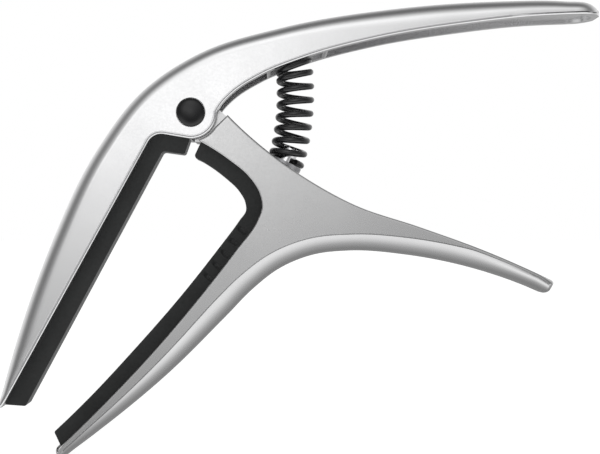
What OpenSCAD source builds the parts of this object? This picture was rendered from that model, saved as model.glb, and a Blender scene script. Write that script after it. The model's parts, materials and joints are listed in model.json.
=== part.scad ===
// Sprung guitar capo: a channel-shaped upper arm with a straight jaw for the fingerboard, and a
// V-shaped lower arm with a curved jaw for the back of the neck, hinged on one pin and pushed
// closed by a coil spring between the two handles.
// Frame: the profile lies in the XZ plane, Y runs across the arms, and the origin is the middle
// of the fret pad's pressing face. The capo is shown closed on its stop.

/* [Arms] */
// Width of both arms from front face to rear face
arm_w = 12; // [11.8:0.1:13]
// Thickness of the side walls beside every channel and pocket
wall_t = 1.7; // [1.6:0.05:1.7]
// Radius of the upper arm's round boss about the pivot
boss_r = 5.2; // [5.1:0.05:5.3]
// Radius of the lower arm's shoulder about the pivot
shoulder_r = 5.65; // [5.6:0.05:5.7]
// How far the lower arm opens from its stop, in degrees
open_angle = 18; // [12:1:18]

/* [Pivot] */
// Diameter of the pivot pin
pin_d = 3; // [2.6:0.1:3.2]
// Radial running clearance between the pin and the bush
pin_gap = 0.05; // [0.02:0.01:0.08]
// Wall thickness of the bush pressed into the tongue
bush_t = 0.75; // [0.6:0.05:0.9]
// Thickness of each thrust washer
washer_t = 0.55; // [0.5:0.05:0.6]
// Diameter of the domed pivot caps
cap_d = 5.7; // [5.2:0.1:5.8]
// Height of each dome above the face of the arm
cap_h = 0.95; // [0.7:0.05:1.1]

/* [Pads] */
// Width of both rubber pads
pad_w = 5.2; // [4.8:0.1:9]
// Thickness of rubber that stands proud of the straight jaw
pad_t = 3.65; // [3.6:0.05:3.7]
// Width of the rubber root that is seated in each jaw
root_w = 3.6; // [3:0.1:4]
// Depth of the root in the jaw
root_depth = 1.4; // [1:0.1:1.5]

/* [Spring] */
// Outside diameter of the coil spring
spring_od = 7.8; // [7.6:0.05:7.8]
// Diameter of the spring wire
wire_d = 1.3; // [1.2:0.05:1.3]
// Diameter of the guide post inside the spring
post_d = 3.4; // [3:0.1:3.6]
// Height of the guide post above its seat
post_h = 3.2; // [2.5:0.1:3.4]

/* [Hidden] */
round_fn = 96;
curve_steps = 5;
arc_step = 9;
channel_w = arm_w - 2 * wall_t;
half_w = arm_w / 2;
past = 1;

// Pivot stack, from the outside in
pivot = [19.4, 32.6];
pin_r = pin_d / 2;
cap_r = cap_d / 2;
cap_seat_depth = 0.5;
cap_seat_r = cap_r + 0.1;
cap_rim = 0.15;
side_play = 0.05;
tongue_w = channel_w - 2 * (washer_t + side_play);
bush_r = pin_r + pin_gap + bush_t;
washer_r = 4.0;
hub_r = 4.3;
hub_clear_r = 4.75;

// Hidden stop: a toe on the tongue meets one end of a slot in the upper arm
toe_r = 6.2;
toe_start = 110;
toe_span = 24;
toe_slot_r = 6.5;
toe_slot_spare = 4;
stop_gap = 0.3;

// Frame of the straight jaw: along it towards the pivot, and square out of the pressing face
jaw_angle = 61.75;
jaw_along = [cos(jaw_angle), sin(jaw_angle)];
jaw_out = [sin(jaw_angle), -cos(jaw_angle)];
jaw_tip_along = -31.8;
jaw_tip_r = 0.6;
pad_end = -32.0;
pad_face_start = -30.4;
pad_face_end = 28.4;
foot_corner = [11.9, 28.6];
foot_corner_r = 3;
foot_toe = [17.9, 24.4];
root_lap = 0.2;

// Upper arm: outer silhouette from the jaw tip over the shoulder to the handle tip
upper_outer = [[-19.1, -24.8], [-15.3, -11.3], [-8.7, 6.9], [0.2, 25.1], [9.6, 37.2], [21.3, 44.9],
               [37.4, 49.9], [61.7, 53.9], [81.9, 55.3], [94.9, 55.3], [100.4, 54.7], [102.7, 53.2]];
// Lower edges of its side walls, from the handle tip back to the boss
upper_rim = [[102.2, 52.4], [97.4, 52.3], [88.4, 51.9], [75.4, 50.5], [56.3, 47.4], [41.3, 43.3],
             [33.3, 40.0], [27.5, 36.2], [25.3, 33.8], [24.6, 32.6]];
handle_tip_x = 102.7;
// Roof of the handle groove, and of the channel between the hub and the spring tray
groove_roof = [[47.0, 48.8], [56.4, 50.3], [66.4, 51.3], [74.0, 51.75], [85.0, 52.2], [97.9, 52.75]];
groove_tip_x = 101;
hub_roof = [[19.4, 37.2], [23.9, 41.8], [29.4, 44.8], [35.9, 46.4]];

// Lower arm: top edge of the handle from the shoulder to the tip
lower_top = [[26.8, 32.1], [35.0, 24.7], [43.0, 19.1], [52.4, 14.0], [65.1, 9.7], [78.6, 4.8],
             [89.8, -0.1]];
lower_tip_top = [92.7, -1.3];
lower_tip_bottom = [91.8, -4.2];
// Lower silhouette from the handle tip round the bend to the jaw tip
lower_outer = [[88.0, -2.6], [76.1, 1.4], [62.9, 4.0], [51.4, 4.8], [43.9, 3.9], [37.3, 1.2], [31.7, -3.1],
               [26.7, -8.2], [14.5, -20.3], [-0.3, -32.5], [-5.8, -36.6]];
lower_jaw_tip = [-6.8, -35.6];
lower_jaw_tip_r = 1.2;
// Seat of the neck pad, from the pivot end to the jaw tip, and the pad's pressing face
neck_rim = [[21.2, 26.8], [27.2, 23.0], [31.0, 19.8], [33.2, 16.4], [33.7, 13.6], [32.8, 10.9],
            [28.5, 4.9], [21.5, -4.1], [11.3, -16.1], [2.4, -25.5], [-7.2, -34.9]];
neck_face = [[19.8, 23.9], [26.0, 19.8], [29.0, 16.9], [30.2, 14.8], [30.4, 13.0], [29.1, 11.0],
             [24.6, 5.0], [17.4, -4.1], [7.0, -16.0], [-1.5, -25.1], [-8.6, -32.0]];
lower_groove = [[46.9, 17.0], [48.9, 13.0], [54.4, 10.2], [65.0, 6.8], [78.4, 2.1], [86.9, -0.9],
                [90.0, -0.5]];
// Neck of the tongue between the hub and the lower arm's body
tongue_neck = [[22.25, 35.75], [27.4, 31.2], [27.4, 28.3], [22.6, 26.8], [20.1, 26.9], [20.1, 29.2]];

// Spring: its axis bends on one large arc, and its end coils lie flat on their two seats
spring_r = (spring_od - wire_d) / 2;
wire_r = wire_d / 2;
bend_centre = [-11.5, 37.1];
bend_r = 52;
spring_top_angle = 6.3;
spring_turns = 8.15;
spring_pitch = 2.65;
end_loss = 0.95;
top_tilt = 19.6;
bottom_tilt = -26;
rings_per_turn = 24;
wire_sides = 10;
seat_gap = 0.1;

// Tray that holds the top of the spring
tray_centre = [40.7, 43.1];
tray_rim = 0.65;
tray_floor = 0.8;
tray_wall = 0.55;
tray_l = 12.4;
tray_opening = 6;

// Round seat and guide post under the spring
seat_r = 3.6;
seat_t = 1.0;
seat_pocket_r = 4.3;
shank_r = 1.0;
shank_l = 4;
seat_boss_h = 4;
seat_boss_rim = 0.3;
seat_pocket_h = 8;
post_bevel = 0.3;

// ---- Curve functions ----

function unit(v) = v / norm(v);
function arc(centre, r, from, to) =
    let (n = max(2, ceil(abs(to - from) / arc_step)))
    [for (i = [0:n]) let (a = from + (to - from) * i / n) centre + r * [cos(a), sin(a)]];

// Smooth curve through knots, with tangents weighted by the distance to each neighbour
function inner_tangent(k, i) =
    let (before = norm(k[i] - k[i - 1]), after = norm(k[i + 1] - k[i]))
    ((k[i] - k[i - 1]) * after / before + (k[i + 1] - k[i]) * before / after) / (before + after);
function end_tangent(from, to, inner) = 2 * (to - from) / norm(to - from) - inner;
function tangent(k, i) =
    i == 0 ? end_tangent(k[0], k[1], inner_tangent(k, 1)) :
    i == len(k) - 1 ? end_tangent(k[i - 1], k[i], inner_tangent(k, i - 1)) :
    inner_tangent(k, i);
function hermite(p, q, m, n, t) =
    let (d = norm(q - p), s = 1 - t)
    (1 + 2 * t) * s * s * p + t * t * (3 - 2 * t) * q + d * t * s * s * m - d * t * t * s * n;
function spline(k, steps = curve_steps) = concat(
    [for (i = [0:len(k) - 2]) for (j = [0:steps - 1])
        hermite(k[i], k[i + 1], tangent(k, i), tangent(k, i + 1), j / steps)],
    [k[len(k) - 1]]);
function last(list) = list[len(list) - 1];
function backwards(list) = [for (i = [len(list) - 1:-1:0]) list[i]];
function between(list, a, b, clear) = [for (p = list) if (norm(p - a) > clear && norm(p - b) > clear) p];

// Arc that rounds the corner b between a and c
function corner(a, b, c, r) =
    let (u = unit(a - b), w = unit(c - b), half = acos(u * w) / 2)
    let (centre = b + unit(u + w) * r / sin(half), reach = r / tan(half))
    let (p = b + u * reach - centre, q = b + w * reach - centre)
    let (from = atan2(p[1], p[0]), turn = atan2(q[1], q[0]) - from)
    arc(centre, r, from, from + (turn > 180 ? turn - 360 : turn < -180 ? turn + 360 : turn));

// The same line moved sideways: positive distance goes to the left of its direction
function moved(line, distance) =
    [for (i = [0:len(line) - 1])
        let (d = unit(line[min(i + 1, len(line) - 1)] - line[max(i - 1, 0)]))
        line[i] + distance * [-d[1], d[0]]];

function on_jaw(along, out) = along * jaw_along + out * jaw_out;
function turned(angle) = [cos(angle), sin(angle)];

// ---- Spring curve ----

function spring_length(n) =
    spring_pitch * n - end_loss * (1 - pow(max(0, 1 - n / 1.6), 2)) - end_loss * pow(max(0, n - 7), 2);
function bend_angle(n) = spring_top_angle - spring_length(n) / bend_r * 180 / PI;
function coil_centre(n) = bend_centre + bend_r * turned(bend_angle(n));
function coil_tilt(n) =
    bend_angle(n)
    + (top_tilt - spring_top_angle) * max(0, 1 - n / 1.5)
    + (bottom_tilt - bend_angle(8)) * pow(min(1, max(0, n - 7)), 2);
function spring_point(n) =
    let (c = coil_centre(n), e = turned(coil_tilt(n)), reach = spring_r * cos(360 * n))
    [c[0] + reach * e[0], -spring_r * sin(360 * n), c[1] + reach * e[1]];

seat_axis = [-sin(bottom_tilt), cos(bottom_tilt)];
seat_top = coil_centre(8) - (wire_r + seat_gap) * seat_axis;

// ---- Outlines ----

upper_outline = concat(
    spline(upper_outer),
    spline(upper_rim),
    arc(pivot, boss_r, -8, -98),
    corner(pivot + boss_r * turned(-98), foot_corner, on_jaw(jaw_tip_along, -pad_t), foot_corner_r),
    arc(on_jaw(jaw_tip_along, -pad_t - jaw_tip_r), jaw_tip_r, jaw_angle - 90, -190));

lower_outline = concat(
    spline(lower_top),
    corner(last(lower_top), lower_tip_top, lower_tip_bottom, 0.8),
    corner(lower_tip_top, lower_tip_bottom, lower_outer[0], 1.2),
    spline(lower_outer),
    arc(lower_jaw_tip, lower_jaw_tip_r, -55, -225),
    backwards(spline(neck_rim)),
    arc(pivot, shoulder_r, -74, -32));

fret_pad_outline = concat(
    [on_jaw(pad_end, -pad_t)],
    corner(on_jaw(pad_end, -pad_t), on_jaw(pad_face_start, 0), on_jaw(0, 0), 0.5),
    corner(on_jaw(0, 0), on_jaw(pad_face_end, 0), foot_toe, 0.7),
    corner(on_jaw(pad_face_end, 0), foot_toe, pivot + boss_r * turned(-95), 0.6),
    [pivot + boss_r * turned(-95), pivot + boss_r * turned(-98)],
    corner(pivot + boss_r * turned(-98), foot_corner, on_jaw(jaw_tip_along, -pad_t), foot_corner_r));

neck_pad_outline = concat(
    spline(neck_rim),
    corner(last(neck_rim), last(neck_face), neck_face[9], 0.4),
    backwards(between(spline(neck_face), neck_face[0], last(neck_face), 1.3)),
    corner(neck_face[1], neck_face[0], neck_rim[0], 0.8));

neck_root_line = between(spline(neck_rim), neck_rim[0], last(neck_rim), 2.5);

// ---- Shared shapes ----

// Flat outline in the XZ plane, given a width across Y
module slab(outline, width) {
    rotate([90, 0, 0])
        linear_extrude(width, center = true)
            polygon(outline);
}

// Cylinder across the arms about the pivot, from y0 to y1
module across(r, y0, y1) {
    translate([pivot[0], y1, pivot[1]])
        rotate([90, 0, 0])
            cylinder(h = y1 - y0, r = r, $fn = round_fn);
}

// Puts children, built standing on +Z, on the spring seat's top with +Z up the spring
module on_seat() {
    translate([seat_top[0], 0, seat_top[1]])
        rotate([0, -bottom_tilt, 0])
            children();
}

// Puts children on the middle of the tray's floor, with +X along it and +Z into the arm
module on_tray() {
    translate([tray_centre[0], 0, tray_centre[1]])
        rotate([0, -top_tilt, 0])
            translate([0, 0, tray_rim])
                children();
}

// Sector of a disc about the pivot, given a width across Y
module sector(r, from, to, width) {
    slab(concat([pivot], arc(pivot, r, from, to)), width);
}

// Box along X with a round end at x = to, taller than either arm
module round_ended(from, to, r) {
    reach = 70;
    translate([from, -r, -reach])
        cube([to - r - from, 2 * r, 2 * reach]);
    translate([to - r, 0, -reach])
        cylinder(h = 2 * reach, r = r, $fn = round_fn);
}

// The tray's outer block, carried down below its rim by extra_h
module tray_block(extra_h) {
    translate([-tray_l / 2, -channel_w / 2, -tray_rim - extra_h])
        cube([tray_l, channel_w, tray_rim + tray_floor + extra_h]);
}

// Curved bar of rubber root behind the neck pad, from just inside the pad to its depth in the jaw
module neck_root() {
    slab(concat(moved(neck_root_line, -root_lap), backwards(moved(neck_root_line, root_depth))), root_w);
}

// Straight bar of rubber root behind the fret pad
module fret_root() {
    root_start = -27;
    root_end = 22;
    slab([on_jaw(root_start, root_lap - pad_t), on_jaw(root_end, root_lap - pad_t),
          on_jaw(root_end, -pad_t - root_depth), on_jaw(root_start + root_depth, -pad_t - root_depth)],
         root_w);
}

// Domed cap over one end of the pin: side is 1 for the front face and -1 for the rear face
module pivot_cap(side) {
    color("#1c1c1e")
        translate([pivot[0], 0, pivot[1]])
            rotate([side * 90, 0, 0])
                translate([0, 0, half_w - cap_seat_depth]) {
                    cylinder(h = cap_seat_depth + cap_rim, r = cap_r, $fn = round_fn);
                    translate([0, 0, cap_seat_depth + cap_rim])
                        dome(cap_r, cap_h - cap_rim);
                }
}

// Spherical cap of the given base radius and height, standing on z = 0
module dome(r, h) {
    ball_r = (r * r + h * h) / (2 * h);
    intersection() {
        cylinder(h = h + past, r = r, $fn = round_fn);
        translate([0, 0, h - ball_r])
            sphere(ball_r, $fn = round_fn);
    }
}

// Washer beside the tongue: side is -1 at the front and 1 at the rear
module thrust_washer(side) {
    inner_face = tongue_w / 2;
    color("#d8d8d2")
        difference() {
            across(washer_r, min(side * inner_face, side * (inner_face + washer_t)),
                   max(side * inner_face, side * (inner_face + washer_t)));
            across(pin_r + pin_gap, -half_w, half_w);
        }
}

// ---- The pieces ----

module upper_arm() {
    color("#c9cacb")
        difference() {
            upper_body();
            // Channel between the hub and the spring tray, and the handle groove
            slab(concat(spline(hub_roof), [[34.6, 40.3], [33.4, 29.8], [19.4, 25.8]]), channel_w);
            handle_groove();
            across(hub_clear_r, -channel_w / 2, channel_w / 2);
            sector(toe_slot_r, toe_start, toe_start + toe_span + open_angle + toe_slot_spare, channel_w);
            on_tray() tray_block(tray_opening);
            across(pin_r, -half_w - past, half_w + past);
            across(cap_seat_r, -half_w - past, cap_seat_depth - half_w);
            across(cap_seat_r, half_w - cap_seat_depth, half_w + past);
            fret_root();
        }
}

// Solid profile of the upper arm, with the handle tip rounded in plan
module upper_body() {
    intersection() {
        slab(upper_outline, arm_w);
        round_ended(-30, handle_tip_x, half_w);
    }
}

// Groove under the handle, with a round end near the tip
module handle_groove() {
    intersection() {
        slab(concat(spline(groove_roof), [[110, 53.7], [110, 45.0], [47.0, 38.0]]), channel_w);
        round_ended(40, groove_tip_x, channel_w / 2);
    }
}

module lower_arm() {
    color("#c4c5c7")
        difference() {
            union() {
                slab(lower_outline, arm_w);
                slab(tongue_neck, tongue_w);
                across(hub_r, -tongue_w / 2, tongue_w / 2);
                sector(toe_r, toe_start + stop_gap, toe_start + toe_span, tongue_w);
                on_seat() translate([0, 0, -seat_t - seat_boss_h])
                    cylinder(h = seat_boss_h, r = seat_r + seat_boss_rim, $fn = round_fn);
            }
            across(bush_r, -half_w, half_w);
            // Round pocket that lets the last coil down between the walls
            on_seat() translate([0, 0, -seat_t])
                cylinder(h = seat_pocket_h, r = seat_pocket_r, $fn = round_fn);
            on_seat() translate([0, 0, -seat_t - shank_l])
                cylinder(h = shank_l + past, r = shank_r, $fn = round_fn);
            slab(concat(spline(lower_groove), [[90.9, 2.8], [60.4, 21.8], [47.4, 21.8]]), channel_w);
            neck_root();
        }
}

module fret_pad() {
    color("#202122") {
        slab(fret_pad_outline, pad_w);
        fret_root();
    }
}

module neck_pad() {
    color("#202122") {
        slab(neck_pad_outline, pad_w);
        neck_root();
    }
}

module pivot_pin() {
    color("#9a9c9f")
        across(pin_r, cap_seat_depth - half_w, half_w - cap_seat_depth);
}

module pivot_bush() {
    color("#b08d4a")
        difference() {
            across(bush_r, -tongue_w / 2, tongue_w / 2);
            across(pin_r + pin_gap, -half_w, half_w);
        }
}

module front_pivot_cap() {
    pivot_cap(1);
}

module rear_pivot_cap() {
    pivot_cap(-1);
}

module front_thrust_washer() {
    thrust_washer(-1);
}

module rear_thrust_washer() {
    thrust_washer(1);
}

// Round wire swept along the spring's curve, one ring of points at a time
module main_spring() {
    rings = round(spring_turns * rings_per_turn);
    dn = 1 / rings_per_turn;
    points = [for (i = [0:rings])
        let (n = i * dn, p = spring_point(n))
        let (ahead = spring_point(n + dn / 2) - spring_point(n - dn / 2), d = ahead / norm(ahead))
        let (c = coil_centre(n), away = p - [c[0], 0, c[1]])
        let (u = unit(away - (away * d) * d), v = cross(d, u))
        for (j = [0:wire_sides - 1])
            let (a = 360 * j / wire_sides)
            p + wire_r * (cos(a) * u + sin(a) * v)];
    sides = [for (i = [0:rings - 1]) for (j = [0:wire_sides - 1])
        let (k = (j + 1) % wire_sides, a = i * wire_sides, b = a + wire_sides)
        [a + j, b + j, b + k, a + k]];
    first = [for (j = [0:wire_sides - 1]) j];
    last = [for (j = [wire_sides - 1:-1:0]) rings * wire_sides + j];
    color("#161617")
        polyhedron(points, concat(sides, [first, last]));
}

module upper_spring_seat() {
    color("#b9babb")
        on_tray()
            difference() {
                tray_block(0);
                translate([tray_wall - tray_l / 2, tray_wall - channel_w / 2, -tray_rim - past])
                    cube([tray_l - 2 * tray_wall, channel_w - 2 * tray_wall, tray_rim + past]);
            }
}

module lower_spring_seat() {
    color("#8d8f92")
        on_seat() translate([0, 0, -seat_t])
            difference() {
                cylinder(h = seat_t, r = seat_r, $fn = round_fn);
                translate([0, 0, -past])
                    cylinder(h = seat_t + 2 * past, r = shank_r, $fn = round_fn);
            }
}

module spring_post() {
    color("#dcdddf")
        on_seat() {
            translate([0, 0, -seat_t - shank_l])
                cylinder(h = seat_t + shank_l, r = shank_r, $fn = round_fn);
            cylinder(h = post_h - post_bevel, r = post_d / 2, $fn = round_fn);
            translate([0, 0, post_h - post_bevel])
                cylinder(h = post_bevel, r1 = post_d / 2, r2 = post_d / 2 - post_bevel, $fn = round_fn);
        }
}

upper_arm();
lower_arm();
fret_pad();
neck_pad();
pivot_pin();
pivot_bush();
front_pivot_cap();
rear_pivot_cap();
front_thrust_washer();
rear_thrust_washer();
main_spring();
upper_spring_seat();
lower_spring_seat();
spring_post();
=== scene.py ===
"""Looks of the sprung guitar capo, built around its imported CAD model.

Lengths in the shape code are in millimetres, in the CAD frame, and become metres in mesh_piece().
The profile lies in the XZ plane and Y runs across the arms.
"""

import json
import math

import bmesh
import bpy
import numpy as np
from mathutils import Matrix, Vector


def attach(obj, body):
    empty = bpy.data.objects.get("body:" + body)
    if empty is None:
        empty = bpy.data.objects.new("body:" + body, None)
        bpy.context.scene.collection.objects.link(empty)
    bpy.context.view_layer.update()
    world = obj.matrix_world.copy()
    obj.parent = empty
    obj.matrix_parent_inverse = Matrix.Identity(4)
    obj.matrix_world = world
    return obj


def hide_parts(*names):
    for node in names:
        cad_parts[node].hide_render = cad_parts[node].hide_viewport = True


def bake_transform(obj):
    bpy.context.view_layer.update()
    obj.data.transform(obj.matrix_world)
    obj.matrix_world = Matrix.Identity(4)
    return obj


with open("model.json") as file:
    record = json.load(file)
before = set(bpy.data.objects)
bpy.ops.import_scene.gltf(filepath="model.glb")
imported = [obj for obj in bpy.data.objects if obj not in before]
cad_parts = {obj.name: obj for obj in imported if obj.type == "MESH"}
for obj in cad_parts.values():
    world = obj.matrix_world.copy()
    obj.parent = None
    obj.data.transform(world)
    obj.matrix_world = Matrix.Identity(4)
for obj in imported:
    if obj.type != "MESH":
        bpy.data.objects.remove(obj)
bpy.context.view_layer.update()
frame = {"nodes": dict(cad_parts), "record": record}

MM = 0.001

# ---- Sizes and curves of the CAD model, in millimetres ----

HALF_W = 6.0
WALL = 1.7
CHANNEL = 2 * (HALF_W - WALL)
PIVOT = (19.4, 32.6)
PIN_R = 1.5
BUSH_R = 2.3
CAP_R = 2.85
CAP_SEAT_R = 2.95
CAP_SEAT_DEPTH = 0.5
CAP_H = 0.95
TONGUE_W = CHANNEL - 1.2
HUB_R = 4.3
HUB_CLEAR_R = 4.75
BOSS_R = 5.2
SHOULDER_R = 5.65
TOE_R = 6.2
TOE_START = 110.0
TOE_SPAN = 24.0
TOE_GAP = 0.3
TOE_SLOT_R = 6.5
TOE_SPARE = 4.0
OPEN_ANGLE = 18.0
PAD_HALF = 2.6
PAD_T = 3.65
ROOT_HALF = 1.8
ROOT_DEPTH = 1.4
ROOT_LAP = 0.2
FRET_ROOT_START = -27
FRET_ROOT_END = 22
NECK_ROOT_CLEAR = 2.5

JAW_ANGLE = 61.75
JAW_ALONG = np.array([math.cos(math.radians(JAW_ANGLE)), math.sin(math.radians(JAW_ANGLE))])
JAW_OUT = np.array([JAW_ALONG[1], -JAW_ALONG[0]])
JAW_TIP_ALONG = -31.8
JAW_TIP_R = 0.6
PAD_END = -32.0
PAD_FACE_START = -30.4
PAD_FACE_END = 28.4
FOOT_CORNER = (11.9, 28.6)
FOOT_CORNER_R = 3.0
FOOT_TOE = (17.9, 24.4)

UPPER_OUTER = [(-19.1, -24.8), (-15.3, -11.3), (-8.7, 6.9), (0.2, 25.1), (9.6, 37.2), (21.3, 44.9),
               (37.4, 49.9), (61.7, 53.9), (81.9, 55.3), (94.9, 55.3), (100.4, 54.7), (102.7, 53.2)]
UPPER_RIM = [(102.2, 52.4), (97.4, 52.3), (88.4, 51.9), (75.4, 50.5), (56.3, 47.4), (41.3, 43.3),
             (33.3, 40.0), (27.5, 36.2), (25.3, 33.8), (24.6, 32.6)]
HANDLE_TIP_X = 102.7
GROOVE_ROOF = [(47.0, 48.8), (56.4, 50.3), (66.4, 51.3), (74.0, 51.75), (85.0, 52.2), (97.9, 52.75)]
GROOVE_TIP_X = 101.0
HUB_ROOF = [(19.4, 37.2), (23.9, 41.8), (29.4, 44.8), (35.9, 46.4)]

LOWER_TOP = [(26.8, 32.1), (35.0, 24.7), (43.0, 19.1), (52.4, 14.0), (65.1, 9.7), (78.6, 4.8), (89.8, -0.1)]
LOWER_TIP_TOP = (92.7, -1.3)
LOWER_TIP_BOTTOM = (91.8, -4.2)
LOWER_OUTER = [(88.0, -2.6), (76.1, 1.4), (62.9, 4.0), (51.4, 4.8), (43.9, 3.9), (37.3, 1.2), (31.7, -3.1),
               (26.7, -8.2), (14.5, -20.3), (-0.3, -32.5), (-5.8, -36.6)]
LOWER_JAW_TIP = (-6.8, -35.6)
LOWER_JAW_TIP_R = 1.2
NECK_RIM = [(21.2, 26.8), (27.2, 23.0), (31.0, 19.8), (33.2, 16.4), (33.7, 13.6), (32.8, 10.9),
            (28.5, 4.9), (21.5, -4.1), (11.3, -16.1), (2.4, -25.5), (-7.2, -34.9)]
NECK_FACE = [(19.8, 23.9), (26.0, 19.8), (29.0, 16.9), (30.2, 14.8), (30.4, 13.0), (29.1, 11.0),
             (24.6, 5.0), (17.4, -4.1), (7.0, -16.0), (-1.5, -25.1), (-8.6, -32.0)]
LOWER_GROOVE = [(46.9, 17.0), (48.9, 13.0), (54.4, 10.2), (65.0, 6.8), (78.4, 2.1), (86.9, -0.9),
                (90.0, -0.5)]
TONGUE_NECK = [(22.25, 35.75), (27.4, 31.2), (27.4, 28.3), (22.6, 26.8), (20.1, 26.9), (20.1, 29.2)]

SPRING_R = 3.25
WIRE_R = 0.65
BEND_CENTRE = np.array([-11.5, 37.1])
BEND_R = 52.0
SPRING_TOP_ANGLE = 6.3
SPRING_TURNS = 8.15
SPRING_PITCH = 2.65
END_LOSS = 0.95
TOP_TILT = 19.6
BOTTOM_TILT = -26.0
SEAT_GAP = 0.1

TRAY_CENTRE = (40.7, 43.1)
TRAY_RIM = 0.65
TRAY_FLOOR = 0.8
TRAY_L = 12.4
SEAT_R = 3.6
SEAT_T = 1.0
SEAT_POCKET_R = 4.3
SEAT_LIP = 0.3
SHANK_R = 1.0
SHANK_L = 4.0

# ---- Plane curves ----


def unit(v):
    v = np.asarray(v, float)
    return v / np.linalg.norm(v)


def turned(angle):
    return np.array([math.cos(math.radians(angle)), math.sin(math.radians(angle))])


def on_jaw(along, out):
    return along * JAW_ALONG + out * JAW_OUT


def arc(centre, r, start, end, step=4.0):
    n = max(3, math.ceil(abs(end - start) / step))
    return np.array([np.asarray(centre) + r * turned(start + (end - start) * i / n) for i in range(n + 1)])


def spline(knots, steps=12):
    """The same smooth curve as the CAD model's, through the same knots."""
    k = np.array(knots, float)

    def inner(i):
        before = np.linalg.norm(k[i] - k[i - 1])
        after = np.linalg.norm(k[i + 1] - k[i])
        return ((k[i] - k[i - 1]) * after / before + (k[i + 1] - k[i]) * before / after) / (before + after)

    slope = [inner(i) if 0 < i < len(k) - 1 else None for i in range(len(k))]
    slope[0] = 2 * unit(k[1] - k[0]) - slope[1]
    slope[-1] = 2 * unit(k[-1] - k[-2]) - slope[-2]
    points = []
    for i in range(len(k) - 1):
        d = np.linalg.norm(k[i + 1] - k[i])
        for j in range(steps):
            t = j / steps
            s = 1 - t
            points.append((1 + 2 * t) * s * s * k[i] + t * t * (3 - 2 * t) * k[i + 1]
                          + d * t * s * s * slope[i] - d * t * t * s * slope[i + 1])
    points.append(k[-1])
    return np.array(points)


def corner(a, b, c, r, step=8.0):
    """Arc that rounds the corner b between a and c."""
    a, b, c = (np.asarray(p, float) for p in (a, b, c))
    u, w = unit(a - b), unit(c - b)
    half = math.acos(float(np.clip(u @ w, -1, 1))) / 2
    centre = b + unit(u + w) * r / math.sin(half)
    reach = r / math.tan(half)
    p, q = b + u * reach - centre, b + w * reach - centre
    start = math.degrees(math.atan2(p[1], p[0]))
    turn = (math.degrees(math.atan2(q[1], q[0])) - start + 180) % 360 - 180
    return arc(centre, r, start, start + turn, step)


def between(points, a, b, clear):
    a, b = np.asarray(a), np.asarray(b)
    return np.array([p for p in points if np.linalg.norm(p - a) > clear and np.linalg.norm(p - b) > clear])


def moved(line, distance):
    d = np.gradient(line, axis=0)
    d /= np.linalg.norm(d, axis=1)[:, None]
    return line + distance * np.stack([-d[:, 1], d[:, 0]], 1)


def resampled(points, step):
    """The line with long stretches cut into pieces no longer than step."""
    out = [points[0]]
    for p, q in zip(points[:-1], points[1:]):
        n = max(1, math.ceil(np.linalg.norm(q - p) / step))
        out.extend(p + (q - p) * (i + 1) / n for i in range(n))
    return np.array(out)


# ---- Spring curve ----


def spring_length(n):
    return (SPRING_PITCH * n - END_LOSS * (1 - max(0.0, 1 - n / 1.6) ** 2)
            - END_LOSS * max(0.0, n - 7) ** 2)


def bend_angle(n):
    return SPRING_TOP_ANGLE - math.degrees(spring_length(n) / BEND_R)


def coil_centre(n):
    return BEND_CENTRE + BEND_R * turned(bend_angle(n))


def coil_tilt(n):
    return (bend_angle(n) + (TOP_TILT - SPRING_TOP_ANGLE) * max(0.0, 1 - n / 1.5)
            + (BOTTOM_TILT - bend_angle(8)) * min(1.0, max(0.0, n - 7)) ** 2)


def spring_point(n):
    c, e = coil_centre(n), turned(coil_tilt(n))
    reach = SPRING_R * math.cos(2 * math.pi * n)
    return np.array([c[0] + reach * e[0], -SPRING_R * math.sin(2 * math.pi * n), c[1] + reach * e[1]])


SEAT_AXIS = np.array([-math.sin(math.radians(BOTTOM_TILT)), math.cos(math.radians(BOTTOM_TILT))])
SEAT_TOP = coil_centre(8) - (WIRE_R + SEAT_GAP) * SEAT_AXIS

# ---- Mesh helpers ----

# Depth and width of the fine line beside the lower arm's crease, and beside the upper arm's rims
CREASE_LINE = (0.16, 0.30)
RIM_LINE = (0.26, 0.46)
# A line fades out as the edge's turn grows from the first angle to the second
LINE_FADE = (68, 88)
# Where the line is deepest, as a share of its width
LINE_LOW = 0.45
# Lengths over which the shape of an edge changes from one part of an outline to the next
EDGE_BLEND = 0.9
INSET_BLEND = 0.5
# Most inset as a multiple of inset_limit's value, and the least divisor of a mitre at a sharp corner
MOST_OF_LIMIT = 1.62
MITRE_LEAST = 0.35


def mesh_piece(name, verts, faces):
    """Object from vertices in millimetres."""
    mesh = bpy.data.meshes.new(name)
    mesh.from_pydata([tuple(float(c) * MM for c in v) for v in verts], [], faces)
    obj = bpy.data.objects.new(name, mesh)
    bpy.context.scene.collection.objects.link(obj)
    bm = bmesh.new()
    bm.from_mesh(mesh)
    bmesh.ops.remove_doubles(bm, verts=bm.verts, dist=1e-6)
    bmesh.ops.recalc_face_normals(bm, faces=bm.faces)
    bm.to_mesh(mesh)
    bm.free()
    mesh.update()
    return obj


def slab(name, outline, half):
    """Plain prism of an XZ outline, for cutting and joining."""
    n = len(outline)
    verts = [(x, -half, z) for x, z in outline] + [(x, half, z) for x, z in outline]
    faces = [list(range(n)), list(range(2 * n - 1, n - 1, -1))]
    faces += [(i, (i + 1) % n, n + (i + 1) % n, n + i) for i in range(n)]
    return mesh_piece(name, verts, faces)


def disc(name, centre, r, y0, y1, sides=96):
    return slab_between(name, arc(centre, r, 0, 360 - 360 / sides, 360 / sides), y0, y1)


def slab_between(name, outline, y0, y1):
    obj = slab(name, outline, (y1 - y0) / 2)
    obj.data.transform(Matrix.Translation((0, (y0 + y1) / 2 * MM, 0)))
    return obj


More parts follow.
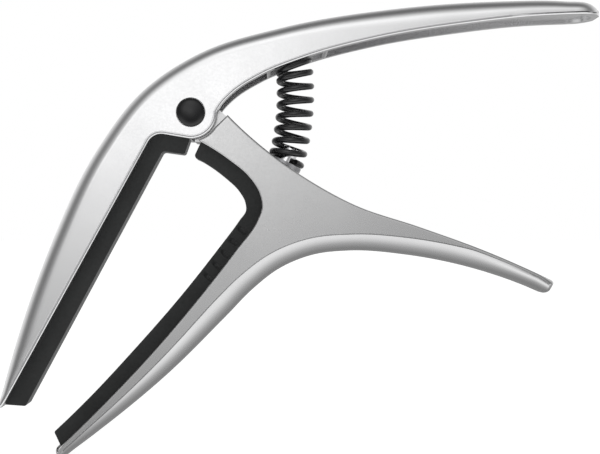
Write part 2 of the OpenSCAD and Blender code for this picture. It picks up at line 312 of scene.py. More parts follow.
def turned_on_seat(name, profile, sides=64):
    """Solid of revolution about the spring seat's axis; profile is (radius, height) from the bottom up."""
    c, s = math.cos(math.radians(BOTTOM_TILT)), math.sin(math.radians(BOTTOM_TILT))

    def place(x, y, h):
        return SEAT_TOP[0] + x * c - h * s, y, SEAT_TOP[1] + x * s + h * c

    return lathe(name, profile, sides, place)


def lathe(name, profile, sides, place):
    """Solid of revolution; place turns a point off its axis and a height into a point in the CAD frame."""
    verts, faces = [], []
    for r, h in profile:
        for i in range(sides):
            a = 2 * math.pi * i / sides
            verts.append(place(r * math.cos(a), r * math.sin(a), h))
    for k in range(len(profile) - 1):
        for i in range(sides):
            j = (i + 1) % sides
            faces.append((k * sides + i, k * sides + j, (k + 1) * sides + j, (k + 1) * sides + i))
    faces.append(list(range(sides)))
    faces.append([(len(profile) - 1) * sides + i for i in range(sides)])
    return mesh_piece(name, verts, faces)


def round_ended(name, start, end, r, reach=70.0):
    """Upright bar from x = start to a half-round end at x = end, as tall as the whole object."""
    ring = [(start, -r), (end - r, -r)]
    ring += [tuple(p) for p in arc((end - r, 0.0), r, -90, 90, 3.0)[1:]]
    ring += [(start, r)]
    n = len(ring)
    verts = [(x, y, -reach) for x, y in ring] + [(x, y, reach) for x, y in ring]
    faces = [list(range(n)), list(range(2 * n - 1, n - 1, -1))]
    faces += [(i, (i + 1) % n, n + (i + 1) % n, n + i) for i in range(n)]
    return mesh_piece(name, verts, faces)


def tray_block(name, down):
    """Box of the tray's outside, in the tray's own tilt, carried down by `down`."""
    c, s = math.cos(math.radians(TOP_TILT)), math.sin(math.radians(TOP_TILT))
    hx, hy = TRAY_L / 2, CHANNEL / 2
    z0, z1 = -down, TRAY_RIM + TRAY_FLOOR
    box = [(x, y, z) for z in (z0, z1) for x, y in ((-hx, -hy), (hx, -hy), (hx, hy), (-hx, hy))]
    verts = [(TRAY_CENTRE[0] + x * c - z * s, y, TRAY_CENTRE[1] + x * s + z * c) for x, y, z in box]
    faces = [(0, 1, 2, 3), (7, 6, 5, 4), (0, 1, 5, 4), (1, 2, 6, 5), (2, 3, 7, 6), (3, 0, 4, 7)]
    return mesh_piece(name, verts, faces)


def combine(obj, tools, operation):
    """Applies exact booleans of obj with each tool, then removes the tools."""
    for tool in tools:
        step = obj.modifiers.new("b", "BOOLEAN")
        step.operation = operation
        step.solver = "EXACT"
        step.object = tool
        bpy.context.view_layer.update()
        result = bpy.data.meshes.new_from_object(obj.evaluated_get(bpy.context.evaluated_depsgraph_get()))
        obj.modifiers.clear()
        obj.data = result
        bpy.data.objects.remove(tool)
    return obj


def finish_mesh(obj, sharp_angle=34.0):
    """Smooth shading with flat faces kept flat."""
    mesh = obj.data
    bm = bmesh.new()
    bm.from_mesh(mesh)
    bmesh.ops.remove_doubles(bm, verts=bm.verts, dist=1e-6)
    bmesh.ops.dissolve_degenerate(bm, edges=bm.edges, dist=1e-6)
    bmesh.ops.triangulate(bm, faces=[f for f in bm.faces if len(f.verts) > 4])
    for f in bm.faces:
        f.smooth = True
    bm.to_mesh(mesh)
    bm.free()
    mesh.set_sharp_from_angle(angle=math.radians(sharp_angle))
    weighted = obj.modifiers.new("flat", "WEIGHTED_NORMAL")
    weighted.keep_sharp = True
    weighted.weight = 80
    return obj


def smooth_values(values, arc_len, sigma):
    """Values along a closed line, averaged over a length sigma."""
    total = arc_len[-1]
    pos = arc_len[:-1]
    gap = np.abs(pos[:, None] - pos[None, :])
    gap = np.minimum(gap, total - gap)
    w = np.exp(-0.5 * (gap / sigma) ** 2)
    seg = np.diff(arc_len)
    w *= (seg + np.roll(seg, 1))[None, :]
    return (w @ values) / w.sum(1)


def inset_limit(points, inward, arc_len, apart=3.0):
    """Largest inset at each point before the far side of the outline gets in the way."""
    total = arc_len[-1]
    pos = arc_len[:-1]
    gap = np.abs(pos[:, None] - pos[None, :])
    gap = np.minimum(gap, total - gap)
    d = points[None, :, :] - points[:, None, :]
    dist2 = (d ** 2).sum(2)
    facing = (d * inward[:, None, :]).sum(2)
    t = np.where((gap > apart) & (facing > 1e-6), dist2 / (2 * np.maximum(facing, 1e-6)), 1e9)
    return t.min(1)


def first_crossing(ring):
    """First two sides of a closed line that cross each other, with the point where they meet."""
    n = len(ring)
    side = np.roll(ring, -1, 0) - ring
    for i in range(n):
        gap = ring - ring[i]
        cross = side[i, 0] * side[:, 1] - side[i, 1] * side[:, 0]
        cross = np.where(np.abs(cross) < 1e-12, 1e-12, cross)
        here = (gap[:, 0] * side[:, 1] - gap[:, 1] * side[:, 0]) / cross
        there = (gap[:, 0] * side[i, 1] - gap[:, 1] * side[i, 0]) / cross
        small = 1e-7
        inside = (here > small) & (here < 1 - small) & (there > small) & (there < 1 - small)
        hits = np.where(inside)[0]
        for j in hits:
            if i + 1 < j and (i, j) != (0, n - 1):
                return i, int(j), ring[i] + here[j] * side[i]
    return None


def untangled(ring):
    """The line with each small loop drawn together into the point where the loop closes."""
    ring = ring.copy()
    n = len(ring)
    for _ in range(200):
        found = first_crossing(ring)
        if not found:
            break
        i, j, meet = found
        span = range(i + 1, j + 1) if j - i < n / 2 else range(j + 1, i + n + 1)
        for k in span:
            ring[k % n] = meet
    return ring


def rounded_solid(name, parts, half, rings=9, groove=(0.0, 0.0)):
    """Solid of an XZ outline whose front and rear edges are rounded.

    parts is a list of (points, inset, depth, turn): over those points the edge runs `inset` in from the
    outline and `depth` across the width, and turns through `turn` degrees. Under 90 it meets the flat
    face at a crease, and `groove` (depth, width) sinks a fine line there.
    """
    points = np.concatenate([part[0] for part in parts])
    spread = np.concatenate([np.stack([np.broadcast_to(v, len(p)) for v in shape], 1) for p, *shape in parts])
    keep = [i for i in range(len(points)) if np.linalg.norm(points[i] - points[i - 1]) > 1e-4]
    points, spread = points[keep], spread[keep]
    x, z = points[:, 0], points[:, 1]
    area = 0.5 * np.sum(x * np.roll(z, -1) - np.roll(x, -1) * z)
    ahead = np.roll(points, -1, 0) - points
    seg = np.linalg.norm(ahead, axis=1)
    ahead /= seg[:, None]
    side = np.stack([-ahead[:, 1], ahead[:, 0]], 1) * (1 if area > 0 else -1)
    before = np.roll(side, 1, 0)
    mitre = (side + before) / np.maximum(MITRE_LEAST, 1 + (side * before).sum(1))[:, None]
    arc_len = np.concatenate([[0], np.cumsum(seg)])
    limit = inset_limit(points, (side + before) / 2, arc_len)
    inset = smooth_values(spread[:, 0], arc_len, EDGE_BLEND)
    inset = np.minimum(inset, MOST_OF_LIMIT * limit)
    inset = np.minimum(inset, smooth_values(inset, arc_len, INSET_BLEND))
    depth = smooth_values(spread[:, 1], arc_len, EDGE_BLEND)
    turn = np.radians(smooth_values(spread[:, 2], arc_len, EDGE_BLEND))
    fade_start, fade_end = LINE_FADE
    creased = np.clip((np.radians(fade_end) - turn) / np.radians(fade_end - fade_start), 0, 1)
    line = groove[1] * creased
    wide = inset / (1 - np.cos(turn))
    deep = depth / np.sin(turn)
    sunk = groove[0] * creased

    n = len(points)
    # Rings from the middle of the width out to the face: how far in from the outline, and how far out in Y
    levels = []
    for k in range(rings + 1):
        phi = turn * k / rings
        levels.append((wide * (1 - np.cos(phi)), half - depth + deep * np.sin(phi)))
    if groove[0] > 0:
        levels.append((inset + LINE_LOW * line, half - sunk))
        levels.append((inset + line, np.full(n, half)))
    verts, rings_of = [], []
    for y_sign in (-1, 1):
        for step_in, y in levels:
            ring = untangled(points + mitre * step_in[:, None])
            rings_of.append(len(verts))
            verts += [(ring[i, 0], y_sign * y[i], ring[i, 1]) for i in range(n)]
    count = len(levels)
    faces = []
    for base in (0, count):
        for k in range(count - 1):
            a, b = rings_of[base + k], rings_of[base + k + 1]
            faces += [(a + i, a + (i + 1) % n, b + (i + 1) % n, b + i) for i in range(n)]
    a, b = rings_of[0], rings_of[count]
    faces += [(a + i, a + (i + 1) % n, b + (i + 1) % n, b + i) for i in range(n)]
    faces.append([rings_of[count - 1] + i for i in range(n)])
    faces.append([rings_of[2 * count - 1] + i for i in range(n)])
    return mesh_piece(name, verts, faces)


# ---- Upper arm ----

UPPER_ROUND = 2.9
# How far the rounded shoulder reaches in at each x: widest along the handle and the jaw
SHOULDER_X = [-19, -8, 9.6, 37, 62, 95, 103]
SHOULDER_INSET = [3.4, 3.4, 2.9, 3.1, 3.8, 3.4, 2.4]
RIM_ROUND = 0.26
BOSS_RIM_ROUND = 0.28
JAW_RIM_ROUND = 0.24
RIM_TURN = 62
# Shape of the handle's tip seen from above: a superellipse whose last point keeps a little width
TIP_POWER = 2.4
TIP_KEPT = 0.015


def upper_arm():
    boss_end = np.array(PIVOT) + BOSS_R * turned(-98)
    tip_centre = on_jaw(JAW_TIP_ALONG, -PAD_T - JAW_TIP_R)
    outer = spline(UPPER_OUTER)
    shoulder = np.interp(outer[:, 0], SHOULDER_X, SHOULDER_INSET)
    rim = spline(UPPER_RIM)
    boss = arc(PIVOT, BOSS_R, -8, -98)
    foot = corner(boss_end, FOOT_CORNER, on_jaw(JAW_TIP_ALONG, -PAD_T), FOOT_CORNER_R)
    limb = resampled(np.array([foot[-1], on_jaw(JAW_TIP_ALONG, -PAD_T)]), 1.5)[1:-1]
    tip = arc(tip_centre, JAW_TIP_R, JAW_ANGLE - 90, -190, 12)
    body = rounded_solid("upper_arm_body", [
        (outer, shoulder, UPPER_ROUND, 90), (rim, RIM_ROUND, RIM_ROUND, RIM_TURN),
        (boss, BOSS_RIM_ROUND, BOSS_RIM_ROUND, RIM_TURN), (foot, RIM_ROUND, RIM_ROUND, RIM_TURN),
        (limb, JAW_RIM_ROUND, JAW_RIM_ROUND, RIM_TURN), (tip, 0.5, 0.8, 90)], HALF_W, groove=RIM_LINE)
    shape_handle_tip(body)
    # Each channel's outline is closed below by points that lie clear of the arm
    hub_channel = np.concatenate([spline(HUB_ROOF), [(34.6, 40.3), (33.4, 29.8), (19.4, 25.8)]])
    handle_channel = np.concatenate([spline(GROOVE_ROOF), [(110, 53.7), (110, 45), (47, 38)]])
    toe_travel = arc(PIVOT, TOE_SLOT_R, TOE_START, TOE_START + TOE_SPAN + OPEN_ANGLE + TOE_SPARE)
    cuts = [
        slab("c", hub_channel, CHANNEL / 2),
        combine(slab("c", handle_channel, CHANNEL / 2),
                [round_ended("c", 40, GROOVE_TIP_X, CHANNEL / 2)], "INTERSECT"),
        disc("c", PIVOT, HUB_CLEAR_R, -CHANNEL / 2, CHANNEL / 2),
        slab("c", np.concatenate([[PIVOT], toe_travel]), CHANNEL / 2),
        tray_block("c", 6.0),
        disc("c", PIVOT, PIN_R, -HALF_W - 1, HALF_W + 1),
        counterbore(-1), counterbore(1),
        fret_root("c"),
    ]
    combine(body, cuts, "DIFFERENCE")
    return finish_mesh(body)


def fret_root(name):
    """Tongue along the back of the fret pad, and the slot it fills in the jaw."""
    near, far = ROOT_LAP - PAD_T, -PAD_T - ROOT_DEPTH
    outline = [on_jaw(FRET_ROOT_START, near), on_jaw(FRET_ROOT_END, near),
               on_jaw(FRET_ROOT_END, far), on_jaw(FRET_ROOT_START + ROOT_DEPTH, far)]
    return slab(name, np.array(outline), ROOT_HALF)


def shape_handle_tip(body):
    """Rounds the handle's tip in plan by drawing its points in towards the middle of the width."""
    start = HANDLE_TIP_X - HALF_W
    for v in body.data.vertices:
        x, y = v.co.x / MM, v.co.y / MM
        if x > start:
            u = min(1.0, (x - start) / HALF_W)
            v.co.y *= math.sqrt(max(0.0, 1 - u ** TIP_POWER)) * (1 - TIP_KEPT) + TIP_KEPT


def counterbore(side):
    """Seat of a pivot cap, with a small chamfer where it meets the arm's face."""
    r, rim = CAP_SEAT_R - 0.05, 0.07
    profile = [(r, HALF_W - CAP_SEAT_DEPTH), (r, HALF_W - rim), (r + rim, HALF_W), (r + rim, HALF_W + 1)]
    return lathe("c", profile, 96, lambda x, z, h: (PIVOT[0] + x, side * h, PIVOT[1] + z))


# ---- Lower arm ----

# Narrower than the CAD model's groove, so that it stays inside the rounded underside
LOWER_GROOVE_HALF = 3.1
# How far the rounded band reaches in from the outer edge at each x: narrow at both ends, widest at the bend
BAND_X = [-5.8, -0.3, 14.5, 26.7, 37.3, 51.4, 62.9, 76.1, 88.0]
BAND_INSET = [1.25, 1.9, 3.1, 3.85, 3.6, 3.3, 3.4, 3.4, 2.9]
BAND_DEPTH = 5.9
# The turn of the band's edge at each x: its crease dies away towards the handle's tip
CREASE_X = [72, 86]
CREASE_TURN = [64, 88]


def lower_arm():
    outer = spline(LOWER_OUTER)
    band = np.interp(outer[:, 0], BAND_X, BAND_INSET)
    crease = np.interp(outer[:, 0], CREASE_X, CREASE_TURN)
    top = spline(LOWER_TOP)
    tip_a = corner(LOWER_TOP[-1], LOWER_TIP_TOP, LOWER_TIP_BOTTOM, 0.8)
    tip_b = corner(LOWER_TIP_TOP, LOWER_TIP_BOTTOM, LOWER_OUTER[0], 1.2)
    jaw_end = arc(LOWER_JAW_TIP, LOWER_JAW_TIP_R, -55, -225, 8)
    rim = spline(NECK_RIM)[::-1]
    shoulder = arc(PIVOT, SHOULDER_R, -74, -32)
    body = rounded_solid("lower_arm_body", [
        (top, 0.45, 0.45, 90), (tip_a, 1.2, 2.6, 90), (tip_b, 2.0, 5.0, 90),
        (outer, band, BAND_DEPTH, crease), (jaw_end, 1.0, 3.5, 80), (rim, 0.25, 0.25, 90),
        (shoulder, 0.55, 0.55, 90)], HALF_W, rings=12, groove=CREASE_LINE)
    toe = np.concatenate([[PIVOT], arc(PIVOT, TOE_R, TOE_START + TOE_GAP, TOE_START + TOE_SPAN)])
    joins = [
        slab("c", np.array(TONGUE_NECK), TONGUE_W / 2),
        disc("c", PIVOT, HUB_R, -TONGUE_W / 2, TONGUE_W / 2),
        slab("c", toe, TONGUE_W / 2),
        turned_on_seat("c", [(SEAT_R + SEAT_LIP, -SEAT_T - 4), (SEAT_R + SEAT_LIP, -SEAT_T)]),
    ]
    combine(body, joins, "UNION")
    # Closed above by points that lie clear of the handle
    groove = np.concatenate([spline(LOWER_GROOVE), [(90.9, 2.8), (60.4, 21.8), (47.4, 21.8)]])
    cuts = [
        disc("c", PIVOT, BUSH_R, -HALF_W, HALF_W),
        turned_on_seat("c", [(SEAT_POCKET_R, -SEAT_T), (SEAT_POCKET_R, 8 - SEAT_T)]),
        turned_on_seat("c", [(SHANK_R, -SEAT_T - SHANK_L), (SHANK_R, 1 - SEAT_T)]),
        slab("c", groove, LOWER_GROOVE_HALF),
        neck_root("c"),
    ]
    combine(body, cuts, "DIFFERENCE")
    return finish_mesh(body, sharp_angle=20)


def neck_root(name):
    """Tongue along the back of the neck pad, and the slot it fills in the lower arm."""
    line = between(spline(NECK_RIM), NECK_RIM[0], NECK_RIM[-1], NECK_ROOT_CLEAR)
    return slab(name, np.concatenate([moved(line, -ROOT_LAP), moved(line, ROOT_DEPTH)[::-1]]), ROOT_HALF)


# ---- Pads ----

PAD_ROUND = 0.22
BACK_ROUND = 0.06
BAR_COUNT = 5
BAR_FIRST = np.array([29.7, 9.0])
BAR_LAST = np.array([22.9, -0.6])
BAR_HALF_WIDTH = 0.55
BAR_HALF_LENGTH = 0.95
BAR_CORNER_POWER = 0.7
BAR_SINK = 0.13


def fret_pad():
    boss = np.array(PIVOT) + BOSS_R * turned(-95)
    boss_end = np.array(PIVOT) + BOSS_R * turned(-98)
    end = on_jaw(PAD_END, -PAD_T)
    face = np.concatenate([
        corner(end, on_jaw(PAD_FACE_START, 0), on_jaw(0, 0), 0.5),
        resampled(np.array([on_jaw(PAD_FACE_START + 1, 0), on_jaw(PAD_FACE_END - 1, 0)]), 2.0),
        corner(on_jaw(0, 0), on_jaw(PAD_FACE_END, 0), FOOT_TOE, 0.7),
        corner(on_jaw(PAD_FACE_END, 0), FOOT_TOE, boss, 0.6)])
    back = np.concatenate([[boss, boss_end],
                           corner(boss_end, FOOT_CORNER, on_jaw(JAW_TIP_ALONG, -PAD_T), FOOT_CORNER_R)])
    pad = rounded_solid("fret_pad_rubber", [
        ([end], BACK_ROUND, BACK_ROUND, 90), (face, PAD_ROUND, PAD_ROUND, 90),
        (back, BACK_ROUND, BACK_ROUND, 90)], PAD_HALF, rings=5)
    combine(pad, [fret_root("c")], "UNION")
    return finish_mesh(pad)


def neck_pad():
    face = np.concatenate([
        corner(NECK_RIM[-1], NECK_FACE[-1], NECK_FACE[-2], 0.4),
        between(spline(NECK_FACE), NECK_FACE[0], NECK_FACE[-1], 1.3)[::-1],
        corner(NECK_FACE[1], NECK_FACE[0], NECK_RIM[0], 0.8)])
    back = spline(NECK_RIM)
    pad = rounded_solid("neck_pad_rubber", [
        (back, BACK_ROUND, BACK_ROUND, 90), (face, PAD_ROUND, PAD_ROUND, 90)], PAD_HALF, rings=5)
    combine(pad, [neck_root("c")], "UNION")
    return finish_mesh(pad)


def grip_bars(pad):
    """Row of shallow sunk bars on the near face of the neck pad's straight part."""
    along = unit(BAR_LAST - BAR_FIRST)
    across = np.array([-along[1], along[0]])
    sides = 40

    def rounded(value):
        return math.copysign(abs(value) ** BAR_CORNER_POWER, value)

    bars = []
    for i in range(BAR_COUNT):
        c = BAR_FIRST + (BAR_LAST - BAR_FIRST) * i / (BAR_COUNT - 1)
        ring = []
        for j in range(sides):
            a = 2 * math.pi * j / sides
            width = BAR_HALF_WIDTH * rounded(math.cos(a))
            length = BAR_HALF_LENGTH * rounded(math.sin(a))
            ring.append(c + along * width + across * length)
        bars.append(slab_between("c", np.array(ring), -PAD_HALF - 0.3, -PAD_HALF + BAR_SINK))
    return combine(pad, bars, "DIFFERENCE")


# ---- Spring ----


# How much less than the nominal radius the drawn wire has
WIRE_TRIM = 0.004


def main_spring():
    per_turn, sides = 40, 20
    rings = round(SPRING_TURNS * per_turn)
    verts, faces = [], []
    for i in range(rings + 1):
        n = i / per_turn
        p = spring_point(n)
        d = unit(spring_point(n + 0.01) - spring_point(n - 0.01))
        c = coil_centre(n)
        away = p - np.array([c[0], 0, c[1]])
        u = unit(away - (away @ d) * d)
        v = np.cross(d, u)
        for j in range(sides):
            a = 2 * math.pi * j / sides
            verts.append(p + (WIRE_R - WIRE_TRIM) * (math.cos(a) * u + math.sin(a) * v))
    for i in range(rings):
        for j in range(sides):
            k = (j + 1) % sides
            faces.append((i * sides + j, (i + 1) * sides + j, (i + 1) * sides + k, i * sides + k))
    faces.append(list(range(sides)))
    faces.append([rings * sides + j for j in range(sides)])
    return finish_mesh(mesh_piece("spring_coil", verts, faces), sharp_angle=50)


# ---- Caps ----


def pivot_cap(name, side):
    """Domed cap: a short cylinder under a shallow half ellipse."""
    r, edge, rise = CAP_R - 0.01, HALF_W + 0.05, CAP_H - 0.05
    profile = [(r, HALF_W - CAP_SEAT_DEPTH)]
    profile += [(r * math.cos(a), edge + rise * math.sin(a)) for a in np.radians(np.linspace(0, 88, 24))]
    obj = lathe(name, profile, 96, lambda x, z, h: (PIVOT[0] + x, side * h, PIVOT[1] + z))
    return finish_mesh(obj, sharp_angle=60)


# ---- Materials ----


class Nodes:
    """Short way to add and join shader nodes."""

    def __init__(self, name):
        self.mat = bpy.data.materials.new(name)
        self.mat.use_nodes = True
        self.tree = self.mat.node_tree
        self.tree.nodes.clear()
        self.out = self.tree.nodes.new("ShaderNodeOutputMaterial")
        self.shader = self.tree.nodes.new("ShaderNodeBsdfPrincipled")
        self.join(self.shader.outputs[0], self.out.inputs[0])
        coord = self.tree.nodes.new("ShaderNodeTexCoord")
        self.coord = coord.outputs["Object"]

    def join(self, a, b):
        self.tree.links.new(a, b)

    def noise(self, scale, detail=2.0, rough=0.5, stretch=None):
        n = self.tree.nodes.new("ShaderNodeTexNoise")
        n.inputs["Scale"].default_value = scale
        n.inputs["Detail"].default_value = detail
        n.inputs["Roughness"].default_value = rough
        if stretch:
            m = self.tree.nodes.new("ShaderNodeMapping")
            m.inputs["Scale"].default_value = stretch
            self.join(self.coord, m.inputs["Vector"])
            self.join(m.outputs[0], n.inputs["Vector"])
        else:
            self.join(self.coord, n.inputs["Vector"])
        return n.outputs["Fac"]

    def spread(self, value, low, high, from_low=0.3, from_high=0.7):
        m = self.tree.nodes.new("ShaderNodeMapRange")
        m.inputs["From Min"].default_value = from_low
        m.inputs["From Max"].default_value = from_high
        m.inputs["To Min"].default_value = low
        m.inputs["To Max"].default_value = high
        self.join(value, m.inputs["Value"])
        return m.outputs["Result"]

    def mix(self, fac, a, b):
        m = self.tree.nodes.new("ShaderNodeMix")
        m.data_type = "RGBA"
        for value, socket in ((fac, m.inputs["Factor"]), (a, m.inputs[6]), (b, m.inputs[7])):
            if isinstance(value, (tuple, float)):
                socket.default_value = value if isinstance(value, float) else (*value, 1)
            else:
                self.join(value, socket)
        return m.outputs[2]

    def calc(self, operation, a, b):
        m = self.tree.nodes.new("ShaderNodeMath")
        m.operation = operation
        for value, socket in ((a, m.inputs[0]), (b, m.inputs[1])):
            if isinstance(value, float):
                socket.default_value = value
            else:
                self.join(value, socket)
        return m.outputs[0]

    def edges(self, radius):
        """1 on convex edges and corners, 0 on flat faces."""
        bevel = self.tree.nodes.new("ShaderNodeBevel")
        bevel.samples = 4
        bevel.inputs["Radius"].default_value = radius
        geometry = self.tree.nodes.new("ShaderNodeNewGeometry")
        dot = self.tree.nodes.new("ShaderNodeVectorMath")
        dot.operation = "DOT_PRODUCT"
        self.join(bevel.outputs[0], dot.inputs[0])
        self.join(geometry.outputs["Normal"], dot.inputs[1])
        return self.spread(dot.outputs["Value"], 1.0, 0.0, 0.80, 0.985)

    def bump(self, layers):
        """layers: (height socket, strength, distance in metres), the first one nearest the surface."""
        last = None
        for height, strength, distance in layers:
            b = self.tree.nodes.new("ShaderNodeBump")
            b.inputs["Strength"].default_value = strength
            b.inputs["Distance"].default_value = distance
            self.join(height, b.inputs["Height"])
            if last:
                self.join(last, b.inputs["Normal"])
            last = b.outputs[0]
        self.join(last, self.shader.inputs["Normal"])

    def set(self, **values):
        for key, value in values.items():
            socket = self.shader.inputs[key.replace("_", " ")]
            if isinstance(value, (int, float)):
                socket.default_value = value
            elif isinstance(value, tuple):
                socket.default_value = (*value, 1)
            else:
                self.join(value, socket)
        return self.mat


def satin_alloy(name, colour, shade, rough):
    """Cast alloy under pearl plating: fine grain, faint cloudiness and brighter worn edges."""
    m = Nodes(name)
    cloud = m.noise(55.0, 3.0, 0.55)
    grain = m.noise(2600.0, 2.0, 0.6)
    orange = m.noise(420.0, 2.0, 0.5)
    base = m.mix(m.spread(cloud, 0.0, 1.0), colour, shade)
    worn = m.calc("MULTIPLY", m.edges(0.00022), m.spread(m.noise(340.0, 3.0, 0.6), 0.15, 0.8))
    base = m.mix(worn, base, tuple(min(1.0, c * 1.1 + 0.03) for c in colour))
    roughness = m.calc("ADD", m.spread(cloud, rough - 0.02, rough + 0.03), m.spread(grain, -0.02, 0.02))
    roughness = m.calc("SUBTRACT", roughness, m.calc("MULTIPLY", worn, 0.06))
    m.bump([(orange, 0.025, 0.0001), (grain, 0.03, 0.00002)])
    return m.set(Base_Color=base, Metallic=1.0, Roughness=roughness)


def moulded_rubber(name):
    m = Nodes(name)
    grain = m.noise(1500.0, 3.0, 0.65)
    cloud = m.noise(90.0, 3.0, 0.6)
    base = m.mix(m.spread(cloud, 0.0, 1.0), (0.012, 0.013, 0.013), (0.021, 0.022, 0.022))
    dusty = m.calc("MULTIPLY", m.edges(0.0003), m.spread(m.noise(260.0), 0.1, 0.7))
    base = m.mix(dusty, base, (0.060, 0.061, 0.062))
    m.bump([(grain, 0.35, 0.00004), (cloud, 0.10, 0.0002)])
    return m.set(Base_Color=base, Roughness=m.spread(grain, 0.55, 0.72), Specular_IOR_Level=0.40,
                 Sheen_Weight=0.22, Sheen_Roughness=0.45)


def black_wire(name):
    m = Nodes(name)
    streak = m.noise(900.0, 3.0, 0.6)
    cloud = m.noise(160.0, 2.0)
    base = m.mix(m.spread(cloud, 0.0, 1.0), (0.005, 0.005, 0.006), (0.012, 0.012, 0.013))
    m.bump([(streak, 0.12, 0.00004)])
    return m.set(Base_Color=base, Roughness=m.spread(streak, 0.15, 0.25), Specular_IOR_Level=0.62)


def black_cap(name):
    m = Nodes(name)
    fine = m.noise(1300.0, 2.0, 0.6)
    cloud = m.noise(220.0, 2.0)
    base = m.mix(m.spread(cloud, 0.0, 1.0), (0.003, 0.003, 0.0035), (0.006, 0.006, 0.007))
    m.bump([(fine, 0.08, 0.00003)])
    return m.set(Base_Color=base, Roughness=m.spread(cloud, 0.22, 0.28), Specular_IOR_Level=0.48)


def turned_metal(name, colour, shade, rough):
    """Small plated or turned parts: fine tool marks, slight tarnish, brighter edges."""
    m = Nodes(name)
    marks = m.noise(2200.0, 2.0, 0.6, (1.0, 1.0, 0.15))
    tarnish = m.noise(380.0, 3.0, 0.6)
    base = m.mix(m.spread(tarnish, 0.0, 1.0), colour, shade)
    base = m.mix(m.calc("MULTIPLY", m.edges(0.00015), 0.6), base, tuple(min(1.0, c * 1.15) for c in colour))
    m.bump([(marks, 0.10, 0.00003)])
    return m.set(Base_Color=base, Metallic=1.0, Roughness=m.spread(marks, rough - 0.05, rough + 0.06))


def nylon(name):
    m = Nodes(name)
    fine = m.noise(900.0, 2.0)
    base = m.mix(m.spread(m.noise(200.0), 0.0, 1.0), (0.70, 0.69, 0.65), (0.60, 0.59, 0.54))
    m.bump([(fine, 0.15, 0.00004)])
    return m.set(Base_Color=base, Roughness=m.spread(fine, 0.42, 0.56))


def paint(obj, material):
    obj.data.materials.clear()
    obj.data.materials.append(material)


# ---- Assembly ----

materials = {
    "upper_arm_alloy": satin_alloy("satin_upper", (0.82, 0.82, 0.825), (0.80, 0.80, 0.806), 0.23),
    "lower_arm_alloy": satin_alloy("satin_lower", (0.62, 0.62, 0.622), (0.59, 0.59, 0.594), 0.25),
    "pad_rubber": moulded_rubber("rubber"),
    "pin_steel": turned_metal("pin", (0.56, 0.56, 0.57), (0.48, 0.48, 0.49), 0.28),
    "bush_bronze": turned_metal("bush", (0.62, 0.44, 0.22), (0.50, 0.34, 0.17), 0.38),
    "cap_black": black_cap("cap"),
    "washer_nylon": nylon("washer"),
    "spring_black": black_wire("wire"),
    "seat_plated": turned_metal("tray", (0.72, 0.72, 0.72), (0.62, 0.62, 0.63), 0.34),
    "seat_steel": turned_metal("seat", (0.42, 0.42, 0.43), (0.34, 0.34, 0.35), 0.34),
    "post_bright": turned_metal("post", (0.88, 0.88, 0.89), (0.80, 0.80, 0.81), 0.16),
}

made = [
    (upper_arm(), "upper", "upper_arm", "upper_arm_alloy"),
    (lower_arm(), "lower", "lower_arm", "lower_arm_alloy"),
    (fret_pad(), "upper", "fret_pad", "pad_rubber"),
    (finish_mesh(grip_bars(neck_pad())), "lower", "neck_pad", "pad_rubber"),
    (pivot_cap("front_cap_dome", -1), "upper", "front_pivot_cap", "cap_black"),
    (pivot_cap("rear_cap_dome", 1), "upper", "rear_pivot_cap", "cap_black"),
    (main_spring(), None, "main_spring", "spring_black"),
]
for piece, body, node, slot in made:
    paint(piece, materials[slot])
    if body:
        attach(piece, body)
    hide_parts(node)

spring_piece = made[-1][0]
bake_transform(spring_piece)

for sub in frame["record"]["subparts"]:
    node = frame["nodes"][sub["node"]]
    paint(node, materials[sub["material_slot"]])
    for face in node.data.polygons:
        face.use_smooth = True
    node.data.set_sharp_from_angle(angle=math.radians(32))
for name, width in (("upper_spring_seat", 0.10), ("lower_spring_seat", 0.14), ("spring_post", 0.10)):
    edge = frame["nodes"][name].modifiers.new("edge", "BEVEL")
    edge.width = width * MM
    edge.segments = 3
    edge.limit_method = "ANGLE"
    edge.angle_limit = math.radians(40)

# ---- Camera, light and floor ----

# Brightness of the studio by the angle off the camera side, above, beside and below the object
RAMP_TOP = 1.6
UP_LIGHT = [(0, 0.36), (12, 0.48), (24, 0.70), (44, 0.98), (62, 0.45), (78, 0.15), (100, 0.18),
            (124, 0.50), (180, 1.05)]
SIDE_LIGHT = [(0, 0.32), (28, 0.34), (45, 0.26), (60, 0.17), (78, 0.26), (106, 0.74), (130, 0.95),
              (180, 0.95)]
DOWN_LIGHT = [(0, 0.32), (26, 0.24), (42, 0.98), (60, 1.40), (76, 1.15), (100, 0.58), (130, 0.32),
              (180, 0.34)]
# How soon the light from below takes over from the sides as a direction drops under the horizon
DOWN_BLEND = 1.6
KEY_DIRECTION = (-0.075, -0.99, 0.125)
ABOVE_DIRECTION = (-0.12, -0.80, 0.58)
LEFT_DIRECTION = (-0.363, -0.90, 0.242)
# Soft lamps: direction, sharpness and brightness of each
LAMPS = ((KEY_DIRECTION, 150, 0.68), (KEY_DIRECTION, 26, 0.56), (ABOVE_DIRECTION, 22, 0.50),
         (LEFT_DIRECTION, 90, 0.85))

camera = bpy.data.objects.new("camera", bpy.data.cameras.new("camera"))
bpy.context.scene.collection.objects.link(camera)
camera.location = (0.03528, -0.225, 0.01004)
camera.rotation_euler = (math.radians(90), 0, 0)
camera.data.sensor_width = 36
camera.data.lens = 65.7
camera.data.shift_x = 0.05
camera.data.shift_y = -0.0033
camera.data.clip_start = 0.01
camera.data.clip_end = 20
bpy.context.scene.camera = camera


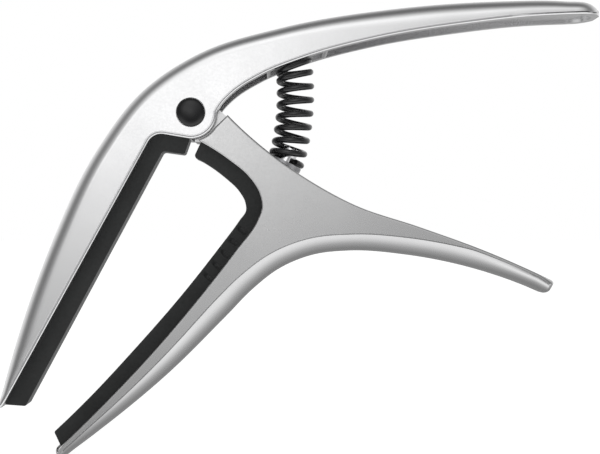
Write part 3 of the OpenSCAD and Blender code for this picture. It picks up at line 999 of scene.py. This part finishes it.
def studio_world():
    """White where the camera sees it directly; reflections meet the three light curves and the lamps."""
    world = bpy.data.worlds.new("studio")
    bpy.context.scene.world = world
    world.use_nodes = True
    tree = world.node_tree
    tree.nodes.clear()
    coord = tree.nodes.new("ShaderNodeTexCoord")

    def calc(operation, *values):
        n = tree.nodes.new("ShaderNodeMath")
        n.operation = operation
        for value, socket in zip(values, n.inputs):
            if isinstance(value, (int, float)):
                socket.default_value = value
            else:
                tree.links.new(value, socket)
        return n.outputs[0]

    def along(direction):
        n = tree.nodes.new("ShaderNodeVectorMath")
        n.operation = "DOT_PRODUCT"
        n.inputs[1].default_value = Vector(direction).normalized()
        tree.links.new(coord.outputs["Generated"], n.inputs[0])
        return n.outputs["Value"]

    def by_angle(angle, stops):
        """Brightness from the angle off the camera side; stops are (degrees, brightness)."""
        n = tree.nodes.new("ShaderNodeValToRGB")
        while len(n.color_ramp.elements) < len(stops):
            n.color_ramp.elements.new(0.5)
        for element, (degrees, value) in zip(n.color_ramp.elements, stops):
            element.position = degrees / 180
            element.color = (value / RAMP_TOP, value / RAMP_TOP, value / RAMP_TOP, 1)
        tree.links.new(angle, n.inputs[0])
        return calc("MULTIPLY", n.outputs[0], RAMP_TOP)

    toward = along((0, -1, 0))
    angle = calc("DIVIDE", calc("ARCCOSINE", toward), math.pi)
    level = calc("SQRT", calc("MAXIMUM", calc("SUBTRACT", 1.0, calc("MULTIPLY", toward, toward)), 1e-4))
    height = calc("DIVIDE", along((0, 0, 1)), level)
    above = by_angle(angle, UP_LIGHT)
    beside = by_angle(angle, SIDE_LIGHT)
    below = by_angle(angle, DOWN_LIGHT)
    up = calc("MAXIMUM", height, 0.0)
    down = calc("MINIMUM", calc("MAXIMUM", calc("MULTIPLY", height, -DOWN_BLEND), 0.0), 1.0)
    side = calc("SUBTRACT", calc("SUBTRACT", 1.0, calc("MULTIPLY", up, up)), down)
    total = calc("ADD", calc("MULTIPLY", above, calc("MULTIPLY", up, up)), calc("MULTIPLY", below, down))
    total = calc("ADD", total, calc("MULTIPLY", beside, calc("MAXIMUM", side, 0.0)))
    for direction, sharpness, strength in LAMPS:
        lobe = calc("POWER", calc("MAXIMUM", along(direction), 0.0), sharpness)
        total = calc("ADD", total, calc("MULTIPLY", lobe, strength))

    seen = tree.nodes.new("ShaderNodeBackground")
    seen.inputs[0].default_value = (1, 1, 1, 1)
    lit = tree.nodes.new("ShaderNodeBackground")
    tree.links.new(total, lit.inputs[0])
    path = tree.nodes.new("ShaderNodeLightPath")
    mix = tree.nodes.new("ShaderNodeMixShader")
    tree.links.new(path.outputs["Is Camera Ray"], mix.inputs[0])
    tree.links.new(lit.outputs[0], mix.inputs[1])
    tree.links.new(seen.outputs[0], mix.inputs[2])
    out = tree.nodes.new("ShaderNodeOutputWorld")
    tree.links.new(mix.outputs[0], out.inputs[0])


# In metres, like the camera
FLOOR_HALF = 3.0
FLOOR_HEIGHT = -0.0375


def pale_floor():
    mesh = bpy.data.meshes.new("floor")
    corners = ((-1, -1), (1, -1), (1, 1), (-1, 1))
    mesh.from_pydata([(x * FLOOR_HALF, y * FLOOR_HALF, FLOOR_HEIGHT) for x, y in corners], [], [(0, 1, 2, 3)])
    floor = bpy.data.objects.new("floor", mesh)
    bpy.context.scene.collection.objects.link(floor)
    m = Nodes("floor_paper")
    fine = m.noise(300.0, 2.0)
    m.bump([(fine, 0.03, 0.0001)])
    paint(floor, m.set(Base_Color=(0.55, 0.55, 0.55), Roughness=0.9, Emission_Color=(1.0, 1.0, 1.0),
                       Emission_Strength=0.78, Specular_IOR_Level=0.1))
    floor.visible_glossy = False


studio_world()
pale_floor()
bpy.context.scene.view_settings.view_transform = "Standard"
